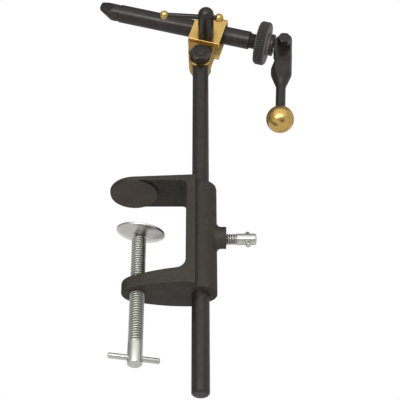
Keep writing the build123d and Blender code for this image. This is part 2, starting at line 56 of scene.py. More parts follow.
# Sizes shared with the solids, in millimetres and degrees
tongue_pad_place = -3.7
tongue_pad_radius = 13.1
screw_radius = 3.96875
screw_foot = -105.2
screw_edge = 0.7
screw_shoulder = -29.18
screw_neck_radius = 2.3
rivet_low = -25.95
rivet_top = -24.95
rivet_radius = 4.3
rivet_crown_radius = 3.0
tee_height = -101.3
tee_turn = 15
tee_half = 13.5
tee_slip = 0.5
tee_radius = 1.5
pad_place = (0.4, 0, -28.2)
pad_lean_near = 10.3
pad_lean_right = 7.2
pad_radius = 13.3
pad_seat_radius = 4.8
pad_hole_radius = 3.2
pad_thickness = 1.2
pad_dish = 2.4
pad_bow = 0.4
lock_radius = 3.175
lock_inner_end = -9.18
lock_inner_edge = 0.8
lock_outer_end = 16.45
lock_pin_inset = 4.6
lock_pin_lean = 29
lock_pin_radius = 1.35
lock_pin_half = 7.0
stem_place = (33.5225, 0, 0)
bracket_leg_face = 5.6
bracket_wall_face = 7.2
tommy_lift = 22.31625
tommy_radius = 1.5875
tommy_low = -26.35
tommy_high = 9.05
tommy_balls = {"tommy_ball_left": -25.15, "tommy_ball_right": 7.85}
tommy_ball_radius = 2.7
barrel_radius = 5.55625
barrel_front = -59.6
barrel_rear = 24.7
barrel_edge = 0.4
barrel_bore_rear = 5.0
barrel_bore_radius = 4.3
mouth_radius = 5.20625
mouth_half_angle = 10
neck_radius = 4.75
neck_end = 33.2
rod_passage_radius = 3.235
spring_low = -23.17
spring_high = 4.57
spring_coil_radius = 3.7375
spring_wire_radius = 0.4
spring_turns = 7
knob_front = 29.4
knob_rear = 36.2
knob_radius = 13.4
knob_edge = 1.1
knob_bore_radius = 4.8
hub_radius = 6.7
hub_end = 37.75
washer_front = 37.78
washer_rear = 39.78
head_tilt = 15.8
lever_lean = 12.4
lever_upright = radians(head_tilt - lever_lean)
lever_axis = (sin(lever_upright), 0, cos(lever_upright))
lever_offset = 1.05
lever_radius = 6.35
lever_neck_radius = 2.925
lever_shoulder = -22.0
lever_neck_top = -32.0
lever_cone_blend = 8.0
lever_flat_depth = 3.8
ball_drop = 56.4
ball_radius = 8.175

# Sizes of the detail that this scene adds, in millimetres
screw_thread_low = -93.0
screw_thread_past = 0.4
screw_thread_depth = 0.7
screw_pitch = INCH / 18
screw_corner_round = 0.25
lock_thread_end = 6.2
lock_thread_depth = 0.6
lock_pitch = INCH / 20
lock_end_round = 1.1
neck_thread_gap = 0.3
neck_thread_depth = 0.4
neck_pitch = INCH / 32
thread_step = 0.12
neck_thread_step = 0.1
tee_end_round = 0.6
lock_pin_end_round = 0.6
tommy_end_round = 0.4
pad_edge_round = 0.3
washer_edge_round = 0.35
hub_edge = 0.3
knurl_count = 56
knurl_depth = 0.45
knurl_step = 0.1
knurl_past = 0.2
lever_flat_low = -30.0
lever_flat_high = -4.0
lever_flat_left = -7.4
lever_flat_right = 5.3
lever_swell_depth = 5.2
lever_swell_start = -5.0
lever_swell_full = -19.0
lever_swell_round = 0.9
swell_step_along = 0.4
swell_step_across = 0.3
tolerance = 0.001


# Meshes


def link(name, mesh):
    """A new object in the scene for a finished mesh, at the origin."""
    made = bpy.data.objects.new(name, mesh)
    bpy.context.scene.collection.objects.link(made)
    return made


def smooth(mesh, angle):
    """Smooth shading with creases where faces meet at more than the angle."""
    mesh.polygons.foreach_set("use_smooth", [True] * len(mesh.polygons))
    mesh.set_sharp_from_angle(angle=radians(angle))


def framed(place, axis):
    """Matrix whose Z runs along an axis from a place, in millimetres."""
    z = Vector(axis).normalized()
    y = Vector((0, 1, 0)) if abs(z.y) < 0.9 else Vector((1, 0, 0))
    x = y.cross(z).normalized()
    y = z.cross(x)
    return Matrix((
        (x.x, y.x, z.x, place[0]), (x.y, y.y, z.y, place[1]), (x.z, y.z, z.z, place[2]), (0, 0, 0, 1)))


def joint_place(joint):
    """A joint's place, in millimetres."""
    return Vector(joints[joint]["pos_m"]) / MM


def along(joint):
    """Matrix whose Z runs along a joint's axis from the joint's place, in millimetres."""
    return framed(joint_place(joint), joints[joint]["axis"])


def eased(outline, radius, steps=3):
    """An outline of (radius, height) points with its inner corners rounded, where the sides leave room."""
    share_of_side = 0.45
    least_reach = 1e-4
    nearly_straight = radians(172)
    points = [Vector(point) for point in outline]
    result = [points[0]]
    for before, corner, after in zip(points, points[1:], points[2:]):
        back, ahead = before - corner, after - corner
        reach = min(radius, back.length * share_of_side, ahead.length * share_of_side)
        if reach < least_reach or back.angle(ahead, 0) > nearly_straight:
            result.append(corner)
            continue
        start, end = corner + back.normalized() * reach, corner + ahead.normalized() * reach
        for step in range(steps + 1):
            t = step / steps
            result.append((1 - t) ** 2 * start + 2 * t * (1 - t) * corner + t * t * end)
    result.append(points[-1])
    return result


def arc(centre, radius, start, end, steps):
    """Points of (radius, height) on an arc about a centre, between angles in degrees above level."""
    turns = [radians(start + (end - start) * step / steps) for step in range(steps + 1)]
    return [(centre[0] + radius * cos(turn), centre[1] + radius * sin(turn)) for turn in turns]


def divided(outline, low, high, step):
    """An outline with its straight runs between two heights cut into short steps."""
    result = [Vector(outline[0])]
    for a, b in zip(outline, outline[1:]):
        a, b = Vector(a), Vector(b)
        inside = low - tolerance < min(a.y, b.y) and max(a.y, b.y) < high + tolerance
        cuts = max(1, round((b - a).length / step)) if inside else 1
        for cut in range(1, cuts + 1):
            result.append(a.lerp(b, cut / cuts))
    return result


def lathe(name, outline, segments):
    """A closed turned mesh about Z, in millimetres, from an open outline on the axis or a ring's outline."""
    on_axis = 1e-6
    made = bmesh.new()
    rings = []
    for radius, height in outline:
        if radius < on_axis:
            rings.append([made.verts.new((0, 0, height))])
            continue
        ring = []
        for step in range(segments):
            angle = 2 * pi * step / segments
            ring.append(made.verts.new((radius * cos(angle), radius * sin(angle), height)))
        rings.append(ring)
    for low, high in zip(rings, rings[1:]):
        for step in range(segments):
            ahead = (step + 1) % segments
            corners = [low[step % len(low)], low[ahead % len(low)]]
            corners += [high[ahead % len(high)], high[step % len(high)]]
            corners = list(dict.fromkeys(corners))
            if len(corners) > 2:
                made.faces.new(corners)
    if len(rings[0]) > 1 and len(rings[-1]) > 1:
        for step in range(segments):
            ahead = (step + 1) % segments
            made.faces.new((rings[-1][step], rings[-1][ahead], rings[0][ahead], rings[0][step]))
    bmesh.ops.recalc_face_normals(made, faces=made.faces)
    mesh = bpy.data.meshes.new(name)
    made.to_mesh(mesh)
    made.free()
    return link(name, mesh)


def turned_ball(name, radius, steps, segments):
    """A ball about the origin, turned on Z."""
    outline = [(max(0, r), z) for r, z in arc((0, 0), radius, -90, 90, steps)]
    return lathe(name, outline, segments)


def evaluated(piece):
    """A piece with its modifiers' result kept as a plain mesh."""
    bpy.context.view_layer.update()
    view = bpy.context.evaluated_depsgraph_get()
    result = bpy.data.meshes.new_from_object(piece.evaluated_get(view), depsgraph=view)
    piece.modifiers.clear()
    piece.data = result
    return piece


def settle(piece, place, material, node, angle=32):
    """Notes a piece's own millimetre coordinates, moves it to its place and puts it on its body.

    An angle smooths it up to creases of that angle, and no angle keeps the normals that it has.
    """
    mesh = piece.data
    local = mesh.attributes.new("local", "FLOAT_VECTOR", "POINT")
    for point, vertex in zip(local.data, mesh.vertices):
        point.vector = vertex.co
    mesh.transform(Matrix.Scale(MM, 4) @ place)
    mesh.update()
    if angle:
        smooth(mesh, angle)
    mesh.materials.clear()
    mesh.materials.append(material)
    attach(piece, body_of_node[node])
    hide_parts(node)
    return piece


def eased_step(value, start, end):
    """A smooth rise from 0 to 1 between two values."""
    t = min(1.0, max(0.0, (value - start) / (end - start)))
    return t * t * (3 - 2 * t)


def lever_bar_radius(height):
    """Radius of the lever's turned bar at a height: straight, blended into its cone and into its neck."""
    slope = atan2(lever_radius - lever_neck_radius, lever_shoulder - lever_neck_top)
    blend_run = lever_cone_blend * tan(slope / 2)
    upper, lower = lever_shoulder + blend_run, lever_neck_top - blend_run
    if height >= upper:
        return lever_radius
    if height <= lower:
        return lever_neck_radius
    if height > lever_shoulder - blend_run * cos(slope):
        return lever_radius - lever_cone_blend + sqrt(lever_cone_blend ** 2 - (height - upper) ** 2)
    if height < lever_neck_top + blend_run * cos(slope):
        return lever_neck_radius + lever_cone_blend - sqrt(lever_cone_blend ** 2 - (height - lower) ** 2)
    return lever_radius - (lever_shoulder - height) * tan(slope)


def lever_swell(across, height):
    """How far the lever's flat swells at a point: out to the bar's own skin, then to a shallower flat."""
    depth = sqrt(max(0.0, lever_bar_radius(height) ** 2 - across ** 2))
    share = min(1.0, max(0.0, 0.5 + (lever_swell_depth - depth) / (2 * lever_swell_round)))
    skin = share * depth + (1 - share) * lever_swell_depth - lever_swell_round * share * (1 - share)
    return max(0.0, skin - lever_flat_depth) * eased_step(height, lever_swell_start, lever_swell_full)


def on_flat(vertex):
    """Whether a point of the lever lies on one of its two flats."""
    return abs(abs(vertex.co.y) - lever_flat_depth) < tolerance


def swell_flats(mesh):
    """Cuts the lever's two flats into a fine grid and swells them towards its cone."""
    made = bmesh.new()
    made.from_mesh(mesh)
    flats = [face for face in made.faces if all(on_flat(vertex) for vertex in face.verts)]
    corners = dict.fromkeys(vertex for face in flats for vertex in face.verts)
    sides = dict.fromkeys(edge for face in flats for edge in face.edges)
    parts = [*corners, *sides, *flats]
    lengthways = (Vector((0, 0, 1)), lever_flat_low, lever_flat_high, swell_step_along)
    crossways = (Vector((1, 0, 0)), lever_flat_left, lever_flat_right, swell_step_across)
    for line, low, high, step in (lengthways, crossways):
        for cut in range(1, round((high - low) / step)):
            place = line * (low + cut * step)
            parts = bmesh.ops.bisect_plane(made, geom=parts, plane_co=place, plane_no=line)["geom"]
    for vertex in made.verts:
        if on_flat(vertex):
            swell = lever_swell(vertex.co.x + lever_offset, vertex.co.z)
            vertex.co.y += swell if vertex.co.y > 0 else -swell
    made.to_mesh(mesh)
    made.free()


def note_bracket_faces(mesh):
    """Marks the bracket's unpolished inside, the outside of its legs, where shade is painted, and its rims, which
    the painted shade leaves out.
    """
    facing = 0.5
    nearly_square = 0.9
    between = (bracket_leg_face + bracket_wall_face) / 2
    inside = mesh.attributes.new("inside", "FLOAT", "FACE")
    leg = mesh.attributes.new("leg", "FLOAT", "FACE")
    rim = mesh.attributes.new("rim", "FLOAT", "FACE")
    for face in mesh.polygons:
        out = abs(face.center.z)
        outwards = face.normal.z if face.center.z > 0 else -face.normal.z
        inside.data[face.index].value = float(outwards < -facing)
        leg.data[face.index].value = float(outwards > facing and out < between)
        rim.data[face.index].value = float(abs(outwards) < nearly_square and out < bracket_leg_face)


def carried_over(node, place, material, angle=32, edge=0.0, form=None):
    """A copy of a solid with its facets joined, its sharp edges broken and its flat faces kept flat."""
    same_point = 1e-6
    same_plane = radians(0.5)
    made = bmesh.new()
    made.from_mesh(nodes[node].data)
    bmesh.ops.remove_doubles(made, verts=made.verts, dist=same_point)
    if edge:
        bmesh.ops.dissolve_limit(made, angle_limit=same_plane, verts=made.verts, edges=made.edges)
    mesh = bpy.data.meshes.new(node + "_finished")
    made.to_mesh(mesh)
    made.free()
    mesh.transform((Matrix.Scale(MM, 4) @ place).inverted())
    smooth(mesh, angle)
    piece = link(mesh.name, mesh)
    if edge:
        broken = piece.modifiers.new("broken_edges", "BEVEL")
        broken.width = edge
        broken.segments = 2
        broken.limit_method = "ANGLE"
        broken.angle_limit = radians(angle)
        evaluated(piece)
    if form:
        form(piece.data)
        smooth(piece.data, angle)
    even = piece.modifiers.new("even_normals", "WEIGHTED_NORMAL")
    even.keep_sharp = True
    return settle(evaluated(piece), place, material, node, angle=None)


# Node trees


def feed(tree, socket, value):
    """Links a socket to an input, or sets the input's own value."""
    if isinstance(value, bpy.types.NodeSocket):
        tree.links.new(value, socket)
    elif value is not None:
        socket.default_value = value


def add(tree, kind, *values, **settings):
    """A new node with its settings, whose first inputs take the values in turn."""
    node = tree.nodes.new(kind)
    for key, value in settings.items():
        setattr(node, key, value)
    for socket, value in zip(node.inputs, values):
        feed(tree, socket, value)
    return node


def fill(tree, node, **values):
    """A node with its named inputs fed, where a name's _ stands for a space."""
    for label, value in values.items():
        feed(tree, node.inputs[label.replace("_", " ").title()], value)
    return node


def calc(tree, operation, *values):
    """A math node's result."""
    return add(tree, "ShaderNodeMath", *values, operation=operation).outputs[0]


def scaled(tree, value, share):
    """A mask or value times a share."""
    return calc(tree, "MULTIPLY", value, share)


def ramp(tree, value, low, high, start=0.0, end=1.0):
    """A value carried smoothly from one range to another."""
    node = add(tree, "ShaderNodeMapRange", value, low, high, start, end, interpolation_type="SMOOTHSTEP")
    return node.outputs[0]


def within(tree, value, start, end, run):
    """A mask that is 1 between two values, with a smooth run at each end."""
    first = ramp(tree, value, start, calc(tree, "ADD", start, run))
    last = ramp(tree, value, end, calc(tree, "SUBTRACT", end, run))
    return calc(tree, "MULTIPLY", first, last)


def zigzag(tree, value):
    """A wave that falls from 1 to 0 and rises to 1 again as a value goes up by one."""
    phase = calc(tree, "FRACT", value)
    return calc(tree, "ABSOLUTE", calc(tree, "MULTIPLY_ADD", phase, 2.0, -1.0))


def distance(tree, x, y):
    """Length of the line to a point from two coordinates."""
    square = calc(tree, "ADD", calc(tree, "MULTIPLY", x, x), calc(tree, "MULTIPLY", y, y))
    return calc(tree, "SQRT", square)


def blend(tree, factor, a, b):
    """Two colours mixed by a factor."""
    node = tree.nodes.new("ShaderNodeMix")
    node.data_type = "RGBA"
    feed(tree, node.inputs[0], factor)
    feed(tree, node.inputs[6], (*a, 1) if isinstance(a, tuple) else a)
    feed(tree, node.inputs[7], (*b, 1) if isinstance(b, tuple) else b)
    return node.outputs[2]


def surface_tree(name, *sizes):
    """An empty tree on a mesh, with named inputs for its sizes and material."""
    tree = bpy.data.node_groups.new(name, "GeometryNodeTree")
    tree.interface.new_socket("Geometry", in_out="INPUT", socket_type="NodeSocketGeometry")
    for size in sizes:
        tree.interface.new_socket(size, in_out="INPUT", socket_type="NodeSocketFloat")
    tree.interface.new_socket("Material", in_out="INPUT", socket_type="NodeSocketMaterial")
    tree.interface.new_socket("Geometry", in_out="OUTPUT", socket_type="NodeSocketGeometry")
    return tree, tree.nodes.new("NodeGroupInput").outputs, tree.nodes.new("NodeGroupOutput").inputs


def close_tree(tree, geometry, inputs, outputs):
    """Ends a tree with its copies made real and its material set."""
    real = add(tree, "GeometryNodeRealizeInstances", geometry).outputs[0]
    painted = fill(tree, add(tree, "GeometryNodeSetMaterial"), geometry=real, material=inputs["Material"])
    feed(tree, outputs["Geometry"], painted.outputs[0])


def apply_tree(piece, tree, material, **sizes):
    """Runs a tree on a piece and keeps the result as a plain mesh."""
    modifier = piece.modifiers.new(tree.name, "NODES")
    modifier.node_group = tree
    for item in tree.interface.items_tree:
        label = item.name.lower().replace(" ", "_")
        if item.in_out == "INPUT" and label in sizes:
            modifier[item.identifier] = float(sizes[label])
        elif item.in_out == "INPUT" and label == "material":
            modifier[item.identifier] = material
    return evaluated(piece)


def cylinder_coordinates(tree):
    """Height, angle in turns, radius and outward direction of a point about Z."""
    position = tree.nodes.new("GeometryNodeInputPosition").outputs[0]
    x, y, z = add(tree, "ShaderNodeSeparateXYZ", position).outputs
    turn = calc(tree, "DIVIDE", calc(tree, "ARCTAN2", y, x), 2 * pi)
    flat = add(tree, "ShaderNodeCombineXYZ", x, y, 0.0).outputs[0]
    outward = add(tree, "ShaderNodeVectorMath", flat, operation="NORMALIZE").outputs[0]
    return z, turn, distance(tree, x, y), outward


def sink(tree, geometry, outward, share, depth):
    """Moves each point of a mesh inwards by a share of a depth, and keeps the share as its groove."""
    kept = add(tree, "GeometryNodeStoreNamedAttribute")
    fill(tree, kept, geometry=geometry, name="groove", value=share)
    back = calc(tree, "MULTIPLY", calc(tree, "MULTIPLY", share, depth), -1.0)
    offset = fill(tree, add(tree, "ShaderNodeVectorMath", outward, operation="SCALE"), scale=back)
    moved = add(tree, "GeometryNodeSetPosition")
    fill(tree, moved, geometry=kept.outputs[0], offset=offset.outputs[0])
    return moved.outputs[0]


def make_thread_tree():
    """Cuts a right-hand thread into a turned piece between two heights."""
    crest_flat, root_flat, crest_slack = 0.86, 0.14, 0.02
    tree, given, put = surface_tree("cut_thread", "Pitch", "Depth", "Start", "End", "Run Out", "Crest Radius")
    z, turn, radius, outward = cylinder_coordinates(tree)
    winding = calc(tree, "SUBTRACT", calc(tree, "DIVIDE", z, given["Pitch"]), turn)
    groove = ramp(tree, zigzag(tree, winding), crest_flat, root_flat)
    crest = calc(tree, "GREATER_THAN", radius, calc(tree, "SUBTRACT", given["Crest Radius"], crest_slack))
    threaded = within(tree, z, given["Start"], given["End"], given["Run Out"])
    share = calc(tree, "MULTIPLY", calc(tree, "MULTIPLY", groove, crest), threaded)
    close_tree(tree, sink(tree, given["Geometry"], outward, share, given["Depth"]), given, put)
    return tree


def make_knurl_tree():
    """Presses crossed grooves into a rim, which leave a diamond knurl."""
    crown_gain, run, rim_slack = 1.3, 0.3, 0.4
    tree, given, put = surface_tree("diamond_knurl", "Count", "Pitch", "Depth", "Start", "End", "Rim Radius")
    z, turn, radius, outward = cylinder_coordinates(tree)
    round_count = calc(tree, "MULTIPLY", turn, given["Count"])
    rise = calc(tree, "DIVIDE", z, given["Pitch"])
    ridges = []
    for operation in ("ADD", "SUBTRACT"):
        wave = zigzag(tree, calc(tree, operation, round_count, rise))
        ridges.append(calc(tree, "SUBTRACT", 1.0, wave))
    height = calc(tree, "MINIMUM", *ridges)
    crown = calc(tree, "MINIMUM", calc(tree, "MULTIPLY", height, crown_gain), 1.0)
    rim = calc(tree, "GREATER_THAN", radius, calc(tree, "SUBTRACT", given["Rim Radius"], rim_slack))
    share = calc(tree, "MULTIPLY", calc(tree, "SUBTRACT", 1.0, crown), rim)
    share = calc(tree, "MULTIPLY", share, within(tree, z, given["Start"], given["End"], run))
    close_tree(tree, sink(tree, given["Geometry"], outward, share, given["Depth"]), given, put)
    return tree


def make_spring_tree():
    """Winds a round wire into a coil spring, from a starting height."""
    steps_in_turn, steps_round_wire = 40, 12
    tree, given, put = surface_tree("wound_spring", "Turns", "Coil Radius", "Wire Radius", "Height", "Start")
    coil = fill(
        tree, add(tree, "GeometryNodeCurveSpiral"), resolution=steps_in_turn, rotations=given["Turns"],
        start_radius=given["Coil Radius"], end_radius=given["Coil Radius"], height=given["Height"])
    wire = add(tree, "GeometryNodeCurvePrimitiveCircle")
    fill(tree, wire, resolution=steps_round_wire, radius=given["Wire Radius"])
    swept = fill(
        tree, add(tree, "GeometryNodeCurveToMesh"), curve=coil.outputs["Curve"],
        profile_curve=wire.outputs["Curve"], fill_caps=True)
    start = add(tree, "ShaderNodeCombineXYZ", 0.0, 0.0, given["Start"]).outputs[0]
    moved = fill(tree, add(tree, "GeometryNodeSetPosition"), geometry=swept.outputs["Mesh"], offset=start)
    close_tree(tree, moved.outputs[0], given, put)
    return tree


# Colours of the finishes
coat_dark = (0.0235, 0.02, 0.0145)
coat_pale = (0.036, 0.0315, 0.0235)
coat_warm = (0.032, 0.025, 0.0195)
coat_edge_wear_and_highlight = (0.1, 0.094, 0.08)
coat_speck = (0.15, 0.14, 0.125)
tongue_pad_worn = (0.051, 0.041, 0.031)
hollow_pitted = (0.006, 0.0045, 0.004)
# Colour of a painted shadow beside the tongue's pad
crescent_shadow_black = (0.003, 0.0025, 0.002)
oxide_black = (0.0112, 0.0087, 0.0074)
oxide_brown = (0.0195, 0.0145, 0.012)
oxide_grey = (0.03, 0.0255, 0.0225)
oxide_edge_wear_and_highlight = (0.12, 0.115, 0.11)
knurl_crest = (0.13, 0.12, 0.11)
knurl_root_shade = (0.004, 0.004, 0.004)
zinc_bright = (0.68, 0.69, 0.63)
zinc_dull = (0.57, 0.57, 0.5)
pad_bright = (0.66, 0.65, 0.61)
pad_dull = (0.55, 0.54, 0.5)
brass_gold = (0.7, 0.46, 0.145)
brass_dull = (0.6, 0.4, 0.125)
# Brown of the brass's painted shade
brass_shade_brown = (0.1, 0.066, 0.02)
brass_edge_wear_and_highlight = (0.9, 0.68, 0.3)


# Finishes


def shader_group(name, outputs, **inputs):
    """An empty shader group with named values in and masks out."""
    tree = bpy.data.node_groups.new(name, "ShaderNodeTree")
    for label, value in inputs.items():
        socket = tree.interface.new_socket(label, in_out="INPUT", socket_type="NodeSocketFloat")
        socket.default_value = value
    for label in outputs:
        tree.interface.new_socket(label, in_out="OUTPUT", socket_type="NodeSocketFloat")
    return tree, tree.nodes.new("NodeGroupInput").outputs, tree.nodes.new("NodeGroupOutput").inputs


def own_place(tree):
    """A point's place in its piece's own millimetre coordinates."""
    return add(tree, "ShaderNodeAttribute", attribute_name="local").outputs["Vector"]


def noted(tree, name):
    """A value that a piece's mesh keeps under a name, or 0 where it keeps none."""
    return add(tree, "ShaderNodeAttribute", attribute_name=name).outputs["Fac"]


def mask_of(tree, group, **values):
    """The mask a shared group makes with its own sizes."""
    return fill(tree, add(tree, "ShaderNodeGroup", node_tree=group), **values).outputs["Mask"]


def make_grain_group():
    """Cloudy grain of a given size, from 0 to 1."""
    tree, given, put = shader_group("surface_grain", ["Mask"], Size=1.0, Detail=3.0)
    place = add(tree, "ShaderNodeVectorMath", own_place(tree), operation="SCALE")
    fill(tree, place, scale=calc(tree, "DIVIDE", 1.0, given["Size"]))
    noise = add(tree, "ShaderNodeTexNoise")
    fill(tree, noise, vector=place.outputs[0], scale=1.0, detail=given["Detail"])
    feed(tree, put["Mask"], ramp(tree, noise.outputs[0], 0.25, 0.75))
    return tree


def make_edge_group():
    """Edges that stand out, broken up by grain: wear from handling, and partly a painted edge highlight."""
    tree, given, put = shader_group("edge_wear", ["Mask"], Width=0.4, Breakup=2.0)
    rounded = add(tree, "ShaderNodeBevel", samples=6)
    fill(tree, rounded, radius=calc(tree, "MULTIPLY", given["Width"], MM))
    flat = add(tree, "ShaderNodeNewGeometry").outputs["Normal"]
    turned = add(tree, "ShaderNodeVectorMath", rounded.outputs[0], flat, operation="DOT_PRODUCT")
    grain = mask_of(tree, surface_grain, size=given["Breakup"], detail=4.0)
    broken = ramp(tree, grain, 0.1, 0.7, 0.35, 1.0)
    edge = ramp(tree, turned.outputs["Value"], 0.995, 0.9)
    feed(tree, put["Mask"], calc(tree, "MULTIPLY", edge, broken))
    return tree


def make_turned_group():
    """Fine rings left by a turning tool about a piece's own axis."""
    tree, given, put = shader_group("turning_marks", ["Mask"], Pitch=0.3)
    x, y, z = add(tree, "ShaderNodeSeparateXYZ", own_place(tree)).outputs
    rings = add(tree, "ShaderNodeCombineXYZ", distance(tree, x, y), z, 0.0).outputs[0]
    noise = add(tree, "ShaderNodeTexNoise", noise_dimensions="2D")
    fill(tree, noise, vector=rings, scale=calc(tree, "DIVIDE", 1.0, given["Pitch"]), detail=2.0)
    feed(tree, put["Mask"], ramp(tree, noise.outputs[0], 0.3, 0.7))
    return tree


def make_occlusion_shade_group():
    """Corners and hollows where shade falls, within a given reach: a mask for painted shade."""
    tree, given, put = shader_group("occlusion_shade", ["Mask"], Reach=5.0)
    hidden = add(tree, "ShaderNodeAmbientOcclusion", samples=12)
    fill(tree, hidden, distance=calc(tree, "MULTIPLY", given["Reach"], MM))
    feed(tree, put["Mask"], ramp(tree, hidden.outputs["AO"], 0.92, 0.4))
    return tree


surface_grain = make_grain_group()
edge_wear = make_edge_group()
turning_marks = make_turned_group()
occlusion_shade = make_occlusion_shade_group()


def finish_material(name, roughness, metallic=0.0):
    """A new material, its tree and its shader."""
    material = bpy.data.materials.new(name)
    material.use_nodes = True
    tree = material.node_tree
    shader = fill(tree, tree.nodes["Principled BSDF"], roughness=roughness, metallic=metallic)
    return material, tree, shader


def roughen(tree, shader, height, depth):
    """Puts a height of a depth in millimetres on a material's surface."""
    bump = fill(tree, add(tree, "ShaderNodeBump"), strength=1.0, distance=depth * MM, height=height)
    fill(tree, shader, normal=bump.outputs[0])


def tongue_shade(tree):
    """Masks of the tongue's round pad, the rough hollow beside it and a painted shadow in a crescent between them.
    """
    x, y, z = add(tree, "ShaderNodeSeparateXYZ", own_place(tree)).outputs
    facing = add(tree, "ShaderNodeNewGeometry").outputs["Normal"]
    under = ramp(tree, add(tree, "ShaderNodeSeparateXYZ", facing).outputs[2], -0.6, -0.9)
    under = calc(tree, "MULTIPLY", under, ramp(tree, z, -1.0, -0.5))
    across = calc(tree, "SUBTRACT", x, tongue_pad_place)
    out = calc(tree, "SUBTRACT", distance(tree, across, y), tongue_pad_radius)
    pad = calc(tree, "MULTIPLY", under, ramp(tree, out, 0.1, -0.3))
    hollow = calc(tree, "MULTIPLY", under, ramp(tree, out, -0.1, 0.3))
    near = calc(tree, "MULTIPLY", hollow, ramp(tree, out, 2.2, 0.6))
    crescent = calc(tree, "MULTIPLY", near, ramp(tree, y, 4.0, -4.0))
    return pad, hollow, crescent


def make_powder_coat():
    """Charcoal powder coat with a fine pebble, on the casting."""
    pebble_height, pit_depth = 0.05, 0.25
    material, tree, shader = finish_material("powder_coat", 0.55)
    shader.inputs["Specular IOR Level"].default_value = 0.24
    pebble = mask_of(tree, surface_grain, size=0.55, detail=3.0)
    cloud = mask_of(tree, surface_grain, size=9.0, detail=3.0)
    speck = ramp(tree, mask_of(tree, surface_grain, size=1.5, detail=0.0), 0.985, 1.0)
    edge = mask_of(tree, edge_wear, width=0.5, breakup=2.5)
    pad, hollow, crescent = tongue_shade(tree)
    rough = scaled(tree, mask_of(tree, surface_grain, size=1.3, detail=5.0), 0.7)
    pits = calc(tree, "MULTIPLY", hollow, rough)
    colour = blend(tree, pebble, coat_dark, coat_pale)
    colour = blend(tree, scaled(tree, cloud, 0.5), colour, coat_warm)
    # Lighter edges: partly worn coat, partly a painted edge highlight.
    colour = blend(tree, scaled(tree, edge, 0.12), colour, coat_edge_wear_and_highlight)
    colour = blend(tree, scaled(tree, speck, 0.12), colour, coat_speck)
    colour = blend(tree, scaled(tree, pad, 0.7), colour, tongue_pad_worn)
    colour = blend(tree, pits, colour, hollow_pitted)
    # Painted shadow beside the raised pad's edge.
    colour = blend(tree, scaled(tree, crescent, 0.8), colour, crescent_shadow_black)
    fill(tree, shader, base_color=colour, roughness=ramp(tree, cloud, 0, 1, 0.5, 0.62))
    height = calc(tree, "ADD", scaled(tree, pebble, pebble_height), scaled(tree, pits, -pit_depth))
    roughen(tree, shader, height, 1.0)
    return material


def make_black_oxide(name, marks_depth, low, high, rubbed_crests=0.0, greyed=0.25):
    """Satin black oxide on steel, faintly brown in places, with its edges rubbed and partly lit by a painted
    highlight, its knurl crests rubbed and painted shade in its knurl roots.

    Its roughness goes from low to high, and greyed is how strongly its fine grain has turned grey.
    """
    rubbed_and_lit_edges = 0.1 if rubbed_crests else 0.3
    material, tree, shader = finish_material(name, low)
    shader.inputs["Specular IOR Level"].default_value = 0.42
    marks = mask_of(tree, turning_marks, pitch=0.35)
    cloud = mask_of(tree, surface_grain, size=5.0, detail=4.0)
    fine = mask_of(tree, surface_grain, size=0.4, detail=2.0)
    edge = mask_of(tree, edge_wear, width=0.3, breakup=1.5)
    colour = blend(tree, cloud, oxide_black, oxide_brown)
    colour = blend(tree, scaled(tree, fine, greyed), colour, oxide_grey)
    # Lighter edges: partly rubbed oxide, partly a painted edge highlight.
    colour = blend(tree, scaled(tree, edge, rubbed_and_lit_edges), colour, oxide_edge_wear_and_highlight)
    if rubbed_crests:
        groove = noted(tree, "groove")
        colour = blend(tree, ramp(tree, groove, 0.1, 0.55, rubbed_crests, 0.0), colour, knurl_crest)
        # Painted shade in the roots of the knurl.
        colour = blend(tree, ramp(tree, groove, 0.3, 0.9), colour, knurl_root_shade)
    fill(tree, shader, base_color=colour, roughness=ramp(tree, cloud, 0, 1, low, high))
    roughen(tree, shader, marks, marks_depth)
    return material


def make_plated(name, bright, dull, marks_depth, low, high, corner_shade):
    """Bright plated steel with rougher thread grooves, painted shade in those grooves and in its corners, and fine
    turning marks.

    Its roughness goes from low to high, and its last argument is how far painted shade darkens its corners.
    """
    shade_level = 0.3
    dark = tuple(shade_level * part for part in dull)
    material, tree, shader = finish_material(name, low, metallic=1.0)
    marks = mask_of(tree, turning_marks, pitch=0.25)
    cloud = mask_of(tree, surface_grain, size=4.0, detail=4.0)
    corner = mask_of(tree, occlusion_shade, reach=2.0)
    groove = noted(tree, "groove")
    tint = blend(tree, scaled(tree, cloud, 0.6), bright, dull)
    # Painted shade in the thread grooves and in hidden corners.
    tint = blend(tree, scaled(tree, ramp(tree, groove, 0.2, 1.0), 0.82), tint, dark)
    tint = blend(tree, scaled(tree, corner, corner_shade), tint, dark)
    rough = calc(tree, "ADD", ramp(tree, cloud, 0, 1, low, high), scaled(tree, groove, 0.2))
    fill(tree, shader, base_color=tint, roughness=rough)
    roughen(tree, shader, marks, marks_depth)
    return material


